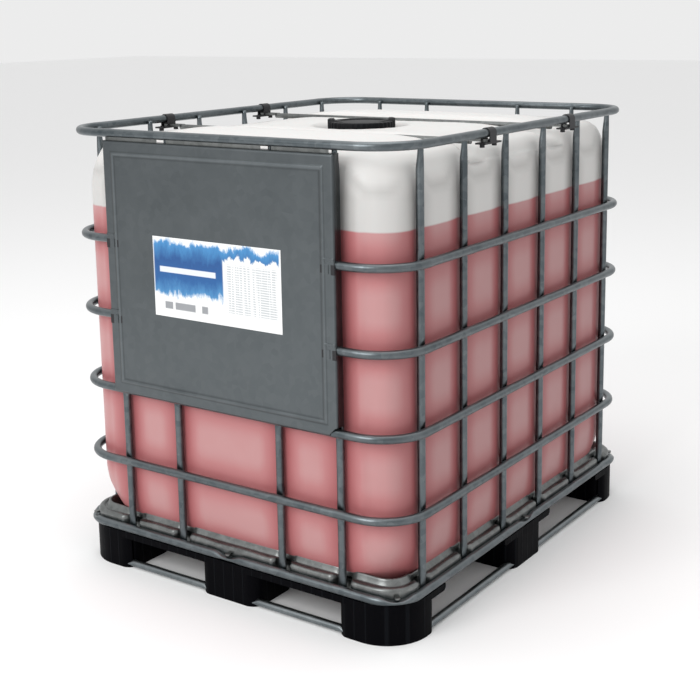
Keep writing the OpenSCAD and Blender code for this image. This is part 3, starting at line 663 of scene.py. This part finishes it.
def make_pan():
    """Pressed deck: a rolled edge set back behind each post, and a sloped rim above it."""
    edge_x, edge_z = BASE_HX - 15 * MM, BOARD_TOP + 25 * MM
    start_y = BASE_CORNER - BASE_HY
    corner = BASE_CORNER + 30 * MM
    bead_r = 9.2 * MM
    outline = [(edge_x + 7 * MM, BOARD_TOP + 8 * MM), (edge_x + 8.8 * MM, BOARD_TOP + 17 * MM)]
    outline += arc(edge_x, edge_z + 1.5 * MM, bead_r, -8, 138, 10)
    outline += [(edge_x - 9.5 * MM, edge_z + 6.5 * MM), (edge_x - 12 * MM, edge_z + 10 * MM),
                (edge_x - 16 * MM, edge_z + 18 * MM)]
    outline += arc(edge_x - 20.5 * MM, edge_z + 18.5 * MM, 4.5 * MM, 40, 160, 6)
    outline += [(edge_x - 29 * MM, edge_z + 4 * MM), (edge_x - 38 * MM, BOARD_TOP + 6 * MM),
                (edge_x - 60 * MM, BOARD_TOP + 1.5 * MM)]
    bm = bmesh.new()
    edges = chain(bm, [(x, start_y, z) for x, z in outline])
    around_frame(bm, edges, BASE_HX, BASE_HY, BASE_CORNER, 6 * MM, 12)
    bmesh.ops.remove_doubles(bm, verts=bm.verts, dist=0.02 * MM)
    for v in bm.verts:
        x, y, z = v.co
        on_end = BASE_HY - abs(y) < BASE_HX - abs(x)
        spots, run = (END_POST_X, x) if on_end else (SIDE_POST_Y, y)
        near = min(abs(run - p) for p in spots)
        press = flat_bump(near, 13 * MM, 15 * MM)
        level = clamp((z - BOARD_TOP) / (12 * MM))
        outer = BASE_HY - abs(y) if on_end else BASE_HX - abs(x)
        depth = max(0, 33 * MM - outer) * press * level
        swell = 0.84 * MM * math.sin(run * 47) * smooth_bump(outer - 15 * MM, 12 * MM)
        if on_end:
            v.co.y -= math.copysign(depth, y)
        else:
            v.co.x -= math.copysign(depth, x)
        v.co.z += swell - 5 * MM * press * level
        cx = abs(x) - (BASE_HX - corner)
        cy = abs(y) - (BASE_HY - corner)
        if cx > 0 and cy > 0 and z < edge_z + 17 * MM:
            bend = min(1, cx / (60 * MM)) * min(1, cy / (60 * MM))
            far = corner - math.hypot(cx, cy)
            if far > 36 * MM:
                v.co.z += bend * max(0, edge_z + 18 * MM - 0.4 * (far - 36 * MM) - z)
    rim = [e for e in bm.edges if e.is_boundary]
    inner = [e for e in rim if max(abs(e.verts[0].co.x) / BASE_HX,
                                   abs(e.verts[0].co.y) / BASE_HY) < 0.93]
    bmesh.ops.edgeloop_fill(bm, edges=inner)
    bmesh.ops.recalc_face_normals(bm, faces=bm.faces)
    piece("deck_sheet", bm, BRIGHT_STEEL, "frame", ["deck_pan"])


# ---- label plate ----

def make_plate():
    """Sheet steel plate: rolled edges turned back into a flange, one cut lower corner and a
    pressed border.
    """
    width, height = PLATE_HIGH.x, (PLATE_HIGH.z - PLATE_LOW.z) / 2
    centre_z = PLATE_MIDDLE_Z
    front = PLATE_LOW.y + 1.5 * MM
    roll = 4 * MM
    turn = Matrix.Rotation(math.pi / 2, 4, "X")
    bm = bmesh.new()
    bmesh.ops.create_grid(bm, x_segments=224, y_segments=206, size=1, matrix=turn)
    for v in bm.verts:
        v.co = (v.co.x * (width - roll), front, centre_z + v.co.z * (height - roll))
    limit = width + height - 26 * MM
    for v in bm.verts:
        across, down = v.co.x, centre_z - v.co.z
        over = across + down - limit
        if over > 0:
            v.co.x -= over / 2
            v.co.z += over / 2
    edges = [e for e in bm.edges if e.is_boundary]
    for angle in np.radians((30, 60, 90)):
        before = angle - math.radians(30)
        back = roll * (math.cos(before) - math.cos(angle))
        grow = roll * (math.sin(angle) - math.sin(before))
        edges = push_edges(bm, edges, (0, back, 0))
        for v in {v for e in edges for v in e.verts}:
            side, up = v.co.x, v.co.z - centre_z
            if abs(side) > width - 5 * MM - grow:
                v.co.x += math.copysign(grow, side)
            if abs(up) > height - 5 * MM - grow:
                v.co.z += math.copysign(grow, up)
    push_edges(bm, edges, (0, 18 * MM, 0))
    for v in bm.verts:
        side, up = v.co.x, v.co.z - centre_z
        if v.co.y > front + 0.1 * MM:
            continue
        inset = min(width - abs(side), height - abs(up))
        v.co.y -= 1.3 * MM * smooth_bump(inset - 30 * MM, 5 * MM)
        ripple = math.sin(side * 9 + 1) * math.sin(up * 7) - 1
        v.co.y += 0.35 * MM * ripple * clamp((inset - 40 * MM) / (120 * MM))
    bmesh.ops.recalc_face_normals(bm, faces=bm.faces)
    bmesh.ops.solidify(bm, geom=bm.faces, thickness=0.8 * MM)
    piece("plate_sheet", bm, PLATE_STEEL, "frame", ["label_plate"])


def make_plate_trim():
    """Strip that hooks the plate under the rail, four clips round the cage rings, and dark
    boxes as painted shade in the clips' slots.
    """
    bm = bmesh.new()
    end = 336 * MM
    front, top = PLATE_LOW.y, PLATE_HIGH.z
    gap = 15 * MM
    spots = [-end, *END_POST_X[1:3], end]
    for left, right in zip(spots, spots[1:]):
        a = left + (4 * MM if left == -end else gap)
        b = right - (16 * MM if right == end else gap)
        box_into(bm, (a, front + 9 * MM, top - 3 * MM), (b, front + 11 * MM, top + 9 * MM))
    piece("plate_hook_strip", bm, BRIGHT_STEEL, "frame", smooth=False)
    bm = bmesh.new()
    # The slots and notches are dark boxes on the plate face: painted shade where the holes
    # would show.
    dark = bmesh.new()
    # middle in from the plate's edge, half width, front, back, low, high, bevel
    tab = (15.5, 14.5, 0.2, 2.4, 6, 12, 0.8)
    tongue = (21, 5, 0.2, 2.4, -22, -2, 0.8)
    hole = (32, 6, 1.2, 3.6, -21, -3, 0.4)
    notch = (5, 5, 1.2, 5, -24, -2, 0.4)
    for z in RING_Z[2:]:
        level = z + 4 * MM
        for side in (-1, 1):
            for into, sizes in ((bm, tab), (bm, tongue), (dark, hole), (dark, notch)):
                inset, half, near, far, down, up, bevel = (size * MM for size in sizes)
                x = side * (PLATE_HIGH.x - inset)
                box_into(into, (x - half, front + near, level + down),
                         (x + half, front + far, level + up), bevel)
    piece("plate_clips", bm, PLATE_STEEL, "frame", smooth=False)
    piece("plate_slot_shade", dark, DARK_FITTINGS, "frame", smooth=False)


def make_sticker():
    """Printed sticker: a thin sheet on the plate."""
    bm = bmesh.new()
    box_into(bm, (STICKER[0], PLATE_LOW.y + 0.5 * MM, STICKER[2]),
             (STICKER[1], PLATE_LOW.y + 2.2 * MM, STICKER[3]), 0.2 * MM, 1)
    piece("plain_sticker", bm, sticker_material(), "frame", smooth=False)


# ---- pallet ----

def make_feet():
    """Feet with rounded edges, and plain walls where the CAD feet have runner grooves."""
    cut = 36 * MM
    for node in [n for n in frame["nodes"] if n.startswith("foot_")]:
        bm = bmesh.new()
        bm.from_mesh(frame["nodes"][node].data)
        bmesh.ops.remove_doubles(bm, verts=bm.verts, dist=0.05 * MM)
        bmesh.ops.bisect_plane(bm, geom=[*bm.verts, *bm.edges, *bm.faces], dist=0.001 * MM,
                               plane_co=(0, 0, cut), plane_no=(0, 0, -1), clear_outer=True)
        rim = [e for e in bm.edges if e.is_boundary]
        rim = push_edges(bm, rim, (0, 0, 0.1 * MM - cut))
        bmesh.ops.bridge_loops(bm, edges=rim)
        bmesh.ops.dissolve_limit(bm, angle_limit=0.02, verts=bm.verts, edges=bm.edges)
        sharp = [e for e in bm.edges if len(e.link_faces) == 2 and e.calc_face_angle() > 0.7]
        bmesh.ops.bevel(bm, geom=sharp, offset=1.2 * MM, offset_type="OFFSET", segments=2,
                        profile=0.5, affect="EDGES", material=-1, clamp_overlap=True)
        piece(node + "_moulding", bm, BLACK_PLASTIC, "frame", [node],
              smooth=False)


def make_runners():
    """Floor runners: oval tubes pressed flat where they pass under the feet."""
    feet = [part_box(n) for n in frame["nodes"] if n.startswith("foot_")]
    for node, along, spot in (("runner_plate", 0, -RUNNER_Y), ("runner_valve", 0, RUNNER_Y),
                              ("runner_left", 1, -RUNNER_X), ("runner_right", 1, RUNNER_X)):
        low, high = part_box(node)
        across = 1 - along
        spans = [(foot[0][along], foot[1][along]) for foot in feet
                 if foot[0][across] < spot < foot[1][across]]
        start, end = Vector((0, 0, 0)), Vector((0, 0, 0))
        start[across] = end[across] = spot
        start[along], end[along] = low[along], high[along]
        bm = bmesh.new()
        rod_into(bm, start, end, 9 * MM, 20, 6 * MM)
        for v in bm.verts:
            run = v.co[along]
            inside = min(max(s - run, run - e) for s, e in spans)
            flat = ease(1 - clamp((inside + 20 * MM) / (16 * MM)))
            v.co[across] = spot + (v.co[across] - spot) * (1.1 + 0.2 * flat)
            v.co.z = 11 * MM + v.co.z * (0.95 - 0.65 * flat) - 1.2 * MM * flat
        piece(node + "_tube", bm, RUNNER_STEEL, "frame", [node])


# ---- filling cap ----

GRIP_RIBS = 40
LUG_ANGLE = 0.61


def make_cap():
    """Screw cap: a low dished disc with grip ribs round its skirt and two raised lugs."""
    radius = CAP_HIGH.x
    foot, top = CAP_LOW.z, CAP_HIGH.z + 5 * MM
    rise = top - foot
    bm = bmesh.new()
    outline = [(radius - 4 * MM, foot), (radius - 2.5 * MM, foot + 1 * MM),
               (radius - 2.5 * MM, foot + 0.62 * rise)]
    outline += arc(radius - 6.5 * MM, top - 9 * MM, 4 * MM, 0, 90, 5)
    dish = top - 9.5 * MM
    outline += [(radius - 14 * MM, top - 5 * MM), (radius - 18 * MM, top - 9 * MM),
                (radius - 40 * MM, dish), (20 * MM, dish), (0, dish)]
    edges = chain(bm, [(x, 0, z) for x, z in outline])
    verts = list({v for e in edges for v in e.verts})
    bmesh.ops.spin(bm, geom=verts + edges, cent=(0, 0, 0), axis=(0, 0, 1), angle=2 * math.pi,
                   steps=240, use_merge=True, use_duplicate=False)
    bmesh.ops.remove_doubles(bm, verts=bm.verts, dist=0.02 * MM)
    for v in bm.verts:
        far = math.hypot(v.co.x, v.co.y)
        angle = math.atan2(v.co.y, v.co.x)
        if far > radius - 4 * MM and v.co.z < top - 5 * MM:
            rib = 0.5 + 0.5 * math.cos(angle * GRIP_RIBS)
            grow = 1 + 1.9 * MM * rib ** 2 / far
            v.co.x, v.co.y = v.co.x * grow, v.co.y * grow
        if far > radius - 20 * MM:
            lift = flat_bump(abs(math.sin(angle - LUG_ANGLE)) * far, 16 * MM, 14 * MM)
            if v.co.z > foot + 0.5 * rise:
                v.co.z += (lift - 0.35) * 7 * MM
    piece("cap_moulding", bm, CAP_PLASTIC, "cap", ["fill_cap"])


# ---- sticker ----

def sticker_material():
    """Pale sticker with a soft-edged blue band over grey bars of plain print."""
    made, tree, shader = new_material("sticker_print")
    coords = object_coords(tree)
    place = split(tree, coords)
    left, right, low, high = STICKER
    u = maths(tree, "DIVIDE", maths(tree, "SUBTRACT", place["X"], left), right - left)
    v = maths(tree, "DIVIDE", maths(tree, "SUBTRACT", place["Z"], low), high - low)
    flicker = noise(tree, coords, 46, 4, 0.7, (1, 1, 0.4))
    edge = maths(tree, "MULTIPLY", maths(tree, "SUBTRACT", flicker, 0.5), 0.34)
    v_soft = maths(tree, "ADD", v, edge)
    band = window(tree, v_soft, 0.28, 0.34, 0.92, 0.97)
    top_band = window(tree, v_soft, 0.80, 0.83, 0.92, 0.97)
    blue = ramp(tree, v_soft, [(0.30, (0.06, 0.24, 0.47)), (0.5, (0.004, 0.085, 0.27)),
                               (0.72, (0.003, 0.065, 0.23)), (0.95, (0.05, 0.24, 0.5))])
    inside = window(tree, u, 0.0, 0.012, 0.555, 0.565)
    whole = window(tree, u, 0.0, 0.012, 0.985, 0.99)
    paper = mix(tree, noise(tree, coords, 60, 3), (0.70, 0.71, 0.71), (0.80, 0.81, 0.81))
    rows = maths(tree, "FRACT", maths(tree, "MULTIPLY", v, 34.0))
    words = noise(tree, coords, 300, 1, 0.5, (1, 1, 0.02))
    print_mask = maths(tree, "MULTIPLY", ramp(tree, rows, [(0.38, 0), (0.48, 1)]),
                       ramp(tree, words, [(0.40, 0), (0.47, 1)]))
    columns = ramp(tree, u, [(0.585, 0), (0.59, 1), (0.765, 1), (0.77, 0), (0.785, 0),
                             (0.79, 1), (0.965, 1), (0.97, 0)])
    lines = window(tree, v, 0.16, 0.17, 0.75, 0.76)
    text = maths(tree, "MULTIPLY", print_mask, maths(tree, "MULTIPLY", columns, lines))
    colour = mix(tree, maths(tree, "MULTIPLY", text, 0.5), paper, (0.16, 0.19, 0.22))
    dash = maths(tree, "MULTIPLY", window(tree, u, 0.03, 0.035, 0.43, 0.44),
                 window(tree, v, 0.10, 0.11, 0.19, 0.20))
    gaps = noise(tree, coords, 60, 0, 0.5, (1, 1, 0.01))
    dash = maths(tree, "MULTIPLY", dash, ramp(tree, gaps, [(0.5, 0), (0.52, 1)]))
    colour = mix(tree, maths(tree, "MULTIPLY", dash, 0.7), colour, (0.05, 0.06, 0.08))
    shown = maths(tree, "MAXIMUM", maths(tree, "MULTIPLY", band, inside),
                  maths(tree, "MULTIPLY", top_band, whole))
    colour = mix(tree, shown, colour, blue)
    title = maths(tree, "MULTIPLY", window(tree, u, 0.05, 0.055, 0.50, 0.505),
                  window(tree, v, 0.56, 0.565, 0.63, 0.635))
    colour = mix(tree, maths(tree, "MULTIPLY", title, 0.8), colour, (0.8, 0.82, 0.84))
    wire(tree, colour, shader.inputs["Base Color"])
    shader.inputs["Roughness"].default_value = 0.35
    bump(tree, shader, noise(tree, coords, 90, 3), 0.15, 0.3 * MM)
    return made


# ---- camera ----

CAMERA_PLACE = (1.8862, -2.7500, 1.3704)
CAMERA_ANGLES = (35.06, 10.92, -0.948)  # round from -Y, down, and rolled, in degrees
CAMERA_REACH = 1283.0 / 700  # lens over sensor width
CAMERA_SHIFT = -0.1286


def add_camera():
    """The fitted view of the part."""
    lens = bpy.data.cameras.new("view")
    lens.sensor_width = 36
    lens.lens = CAMERA_REACH * lens.sensor_width
    lens.shift_y = CAMERA_SHIFT
    lens.clip_end = 60
    made = bpy.data.objects.new("view", lens)
    bpy.context.scene.collection.objects.link(made)
    azimuth, rise, roll = (math.radians(v) for v in CAMERA_ANGLES)
    forward = Vector((-math.sin(azimuth) * math.cos(rise),
                      math.cos(azimuth) * math.cos(rise), -math.sin(rise)))
    right = Vector((math.cos(azimuth), math.sin(azimuth), 0))
    up = right.cross(forward)
    across = right * math.cos(roll) + up * math.sin(roll)
    above = up * math.cos(roll) - right * math.sin(roll)
    turn = Matrix((across, above, -forward)).transposed()
    made.matrix_world = Matrix.Translation(CAMERA_PLACE) @ turn.to_4x4()
    bpy.context.scene.camera = made


# ---- materials of the CAD nodes ----

PAINTS = (
    (SEAL_RUBBER, ("fill_cap_gasket", "outlet_gasket", "dust_cap_seal")),
    (BLACK_PLASTIC, ("foot_", "board_")),
    (BRIGHT_STEEL, ("runner_", "cross_bar", "deck_", "valve_stem")),
    (CAGE_STEEL, ("base_ring", "cage_ring", "top_rail", "post_")),
    (DARK_FITTINGS, ("fill_cap", "bar_clamps", "clamp_bolts", "valve_body", "valve_disc",
                     "outlet_nut")),
    (RED_PLASTIC, ("valve_handle", "dust_cap")),
    (PLATE_STEEL, ("label_plate",)),
)


def repaint_nodes():
    """Gives every CAD node its material, but the bottle, which a piece replaces."""
    for name in frame["nodes"]:
        mesh = frame["nodes"][name].data
        for paint, starts in PAINTS:
            if name.startswith(starts):
                mesh.materials.clear()
                mesh.materials.append(paint)
                break


# ---- bottle ----

BOTTLE_TOP = BOTTLE_HIGH.z
BOTTLE_BASE = BOTTLE_LOW.z
# height, inset from the sides and plan corner radius in mm, from the bottom up
PROFILE = [
    (0, 300, 200), (0, 70, 140), (2, 50, 132), (10, 30, 128), (24, 16, 126), (44, 7, 124),
    (70, 2, 110), (105, 0, 82), (140, 0, 70), (500, 0, 70), (872, 0, 70), (905, 2, 78),
    (935, 6, 92), (958, 12, 104), (972, 24, 114), (982, 42, 124), (990, 70, 132),
    (995, 110, 140), (996, 160, 150), (994, 300, 200),
]


SIDE_ROWS = (6, 12)  # rows of the profile where the upright wall starts and ends
CHANNEL_Y = 205 * MM
NECK_R = 92 * MM
RECESS_HALF, RECESS_TOP, RECESS_Y, RECESS_EASE = 116 * MM, 255 * MM, 438 * MM, 18 * MM


def wrap_box(bm):
    """Bends a divided cube of size 2 to the blown shape set out in the profile."""
    hx, hy = BOTTLE_HIGH.x, BOTTLE_HIGH.y
    heights, insets, radii = np.array(PROFILE).T * MM
    along = np.concatenate([[0], np.cumsum(np.hypot(np.diff(heights), np.diff(insets)))])
    side_from, side_to = (along[row] for row in SIDE_ROWS)
    for v in bm.verts:
        x, y, z = v.co
        if abs(z) < 0.9999:
            t = side_from + (side_to - side_from) * (z + 1) / 2
            nx, ny = x, y
        else:
            s = min(hx * (1 - abs(x)), hy * (1 - abs(y)))
            room = min(hx, hy)
            end = along[-1] if z > 0 else along[0]
            edge = side_to if z > 0 else side_from
            t = edge + (end - edge) * s / room
            nx = max(-1, min(1, x * hx / max(hx - s, 1e-6)))
            ny = max(-1, min(1, y * hy / max(hy - s, 1e-6)))
        inset = float(np.interp(t, along, insets))
        if abs(z) > 0.9999 and s > 0.2 * room:
            inset = max(inset, s)
        high = float(np.interp(t, along, heights))
        a, b = hx - inset, hy - inset
        r = min(float(np.interp(t, along, radii)), a, b)
        px, py = nx * a, ny * b
        qx, qy = max(-a + r, min(a - r, px)), max(-b + r, min(b - r, py))
        dx, dy = px - qx, py - qy
        size = math.hypot(dx, dy)
        if size > 1e-9:
            px, py = qx + dx / size * r, qy + dy / size * r
        v.co = (px, py, BOTTLE_BASE + high)


def swell_cells(bm):
    """Bulges the walls between posts, creases the shoulder and sinks the top's channels.

    A vertex layer keeps how far each place stands out between the posts, as painted light for
    the bottle's colour: a painted highlight mid-cell, with painted shade near the posts, by
    the rings and in the shoulder crease.
    """
    hx, hy = BOTTLE_HIGH.x, BOTTLE_HIGH.y
    painted_cell_light = bm.verts.layers.float.new("painted_cell_light")
    for v in bm.verts:
        x, y, z = v.co
        on_end = abs(x) < hx - 75 * MM
        on_side = abs(y) < hy - 75 * MM
        wall = max(abs(x) / hx, abs(y) / hy)
        posts = END_POST_X if (hy - abs(y)) < (hx - abs(x)) else SIDE_POST_Y
        place = x if posts is END_POST_X else y
        near = min(abs(place - p) for p in posts)
        clear = 1 - smooth_bump(near, 70 * MM)
        # body darkens the colour near each ring and the base: painted shadow of the rings.
        ring_gap = min(abs(z - r) for r in [*RING_Z, RAIL_Z, BASE_Z + 12 * MM])
        body = 1 - 0.62 * smooth_bump(ring_gap, 76 * MM)
        crease_z = BOTTLE_TOP - (50 + 42 * clear) * MM
        crease = smooth_bump(z - crease_z, 22 * MM) * (0.5 + 0.5 * clear)
        # Painted light for the colour: lightest mid-cell, with painted shade near the posts,
        # by the rings and in the shoulder crease.
        v[painted_cell_light] = clear * body * (1 - 0.75 * crease)
        if wall > 0.93:
            push = 7 * MM * clear - 1.5 * MM * smooth_bump(near, 16 * MM) - 5 * MM * crease
            fade = clamp((z - BOTTLE_BASE - 40 * MM) / (90 * MM))
            fade *= clamp((BOTTLE_TOP - 40 * MM - z) / (60 * MM))
            out = Vector((x * (hy / hx) if posts is SIDE_POST_Y else 0,
                          y if posts is END_POST_X else 0, 0))
            if out.length > 0 and (on_end or on_side):
                v.co += out.normalized() * push * fade
        if z > BOTTLE_TOP - 60 * MM:
            for side in (-1, 1):
                v.co.z -= 34 * MM * flat_bump(abs(y - side * CHANNEL_Y), 6 * MM, 48 * MM)
            v.co.z -= 36 * MM * flat_bump(math.hypot(x, y), NECK_R, 34 * MM)
            if abs(y) < CHANNEL_Y:
                v.co.z -= 8 * MM


def sink_recess(bm):
    """Sets the wall back round the outlet valve."""
    for v in bm.verts:
        x, y, z = v.co
        if (y < RECESS_Y - 8 * MM or z > RECESS_TOP + 35 * MM
                or abs(x) > RECESS_HALF + 34 * MM):
            continue
        beside = ease((abs(x) - RECESS_HALF) / RECESS_EASE)
        over = ease((z - RECESS_TOP) / RECESS_EASE)
        v.co.y = min(y, RECESS_Y + 130 * MM * max(beside, over))


def make_bottle():
    """Blown bottle with swollen cells, creased shoulders and the valve's recess."""
    bm = bmesh.new()
    bmesh.ops.create_cube(bm, size=2)
    for axis, cuts in enumerate((76, 92, 84)):
        lines = [e for e in bm.edges
                 if abs(e.verts[0].co[axis] - e.verts[1].co[axis]) > 1.9]
        bmesh.ops.subdivide_edges(bm, edges=lines, cuts=cuts, use_grid_fill=True)
    wrap_box(bm)
    bmesh.ops.smooth_vert(bm, verts=bm.verts, factor=0.5, use_axis_x=True, use_axis_y=True,
                          use_axis_z=True)
    swell_cells(bm)
    sink_recess(bm)
    piece("bottle_shell", bm, BOTTLE_PLASTIC, "frame", ["bottle"])


repaint_nodes()
add_camera()
make_bottle()
make_cage()
make_pan()
make_plate()
make_plate_trim()
make_sticker()
make_feet()
make_runners()
make_cap()


# ---- studio ----

def add_light(name, place, target, size, watts):
    """A soft rectangular lamp turned to a target."""
    lamp = bpy.data.lights.new(name, "AREA")
    lamp.shape, lamp.size, lamp.size_y = "RECTANGLE", size[0], size[1]
    lamp.energy = watts
    made = bpy.data.objects.new(name, lamp)
    bpy.context.scene.collection.objects.link(made)
    made.location = place
    made.rotation_mode = "QUATERNION"
    made.rotation_quaternion = (Vector(target) - Vector(place)).to_track_quat("-Z", "Y")


def add_studio():
    """Plain pale floor, white air and three lamps."""
    bm = bmesh.new()
    bmesh.ops.create_grid(bm, x_segments=1, y_segments=1, size=30)
    mesh = bpy.data.meshes.new("floor")
    bm.to_mesh(mesh)
    bm.free()
    floor = bpy.data.objects.new("floor", mesh)
    bpy.context.scene.collection.objects.link(floor)
    made, _, shader = new_material("studio_floor")
    shader.inputs["Base Color"].default_value = (0.93, 0.93, 0.93, 1)
    shader.inputs["Roughness"].default_value = 0.9
    shader.inputs["Specular IOR Level"].default_value = 0.1
    mesh.materials.append(made)
    world = bpy.data.worlds.new("studio_air")
    bpy.context.scene.world = world
    world.use_nodes = True
    air = world.node_tree.nodes["Background"]
    air.inputs["Color"].default_value = (1, 1, 1, 1)
    air.inputs["Strength"].default_value = 0.84
    add_light("key", (-0.5, -4.9, 3.3), (0, 0, 0.6), (3, 2.5), 142)
    add_light("top", (0, 0, 4.6), (0, 0, 0), (3.5, 3.5), 56)
    add_light("side", (4.2, -0.6, 2.0), (0, 0, 0.5), (2, 2), 5)
    bpy.context.scene.view_settings.view_transform = "Standard"


add_studio()
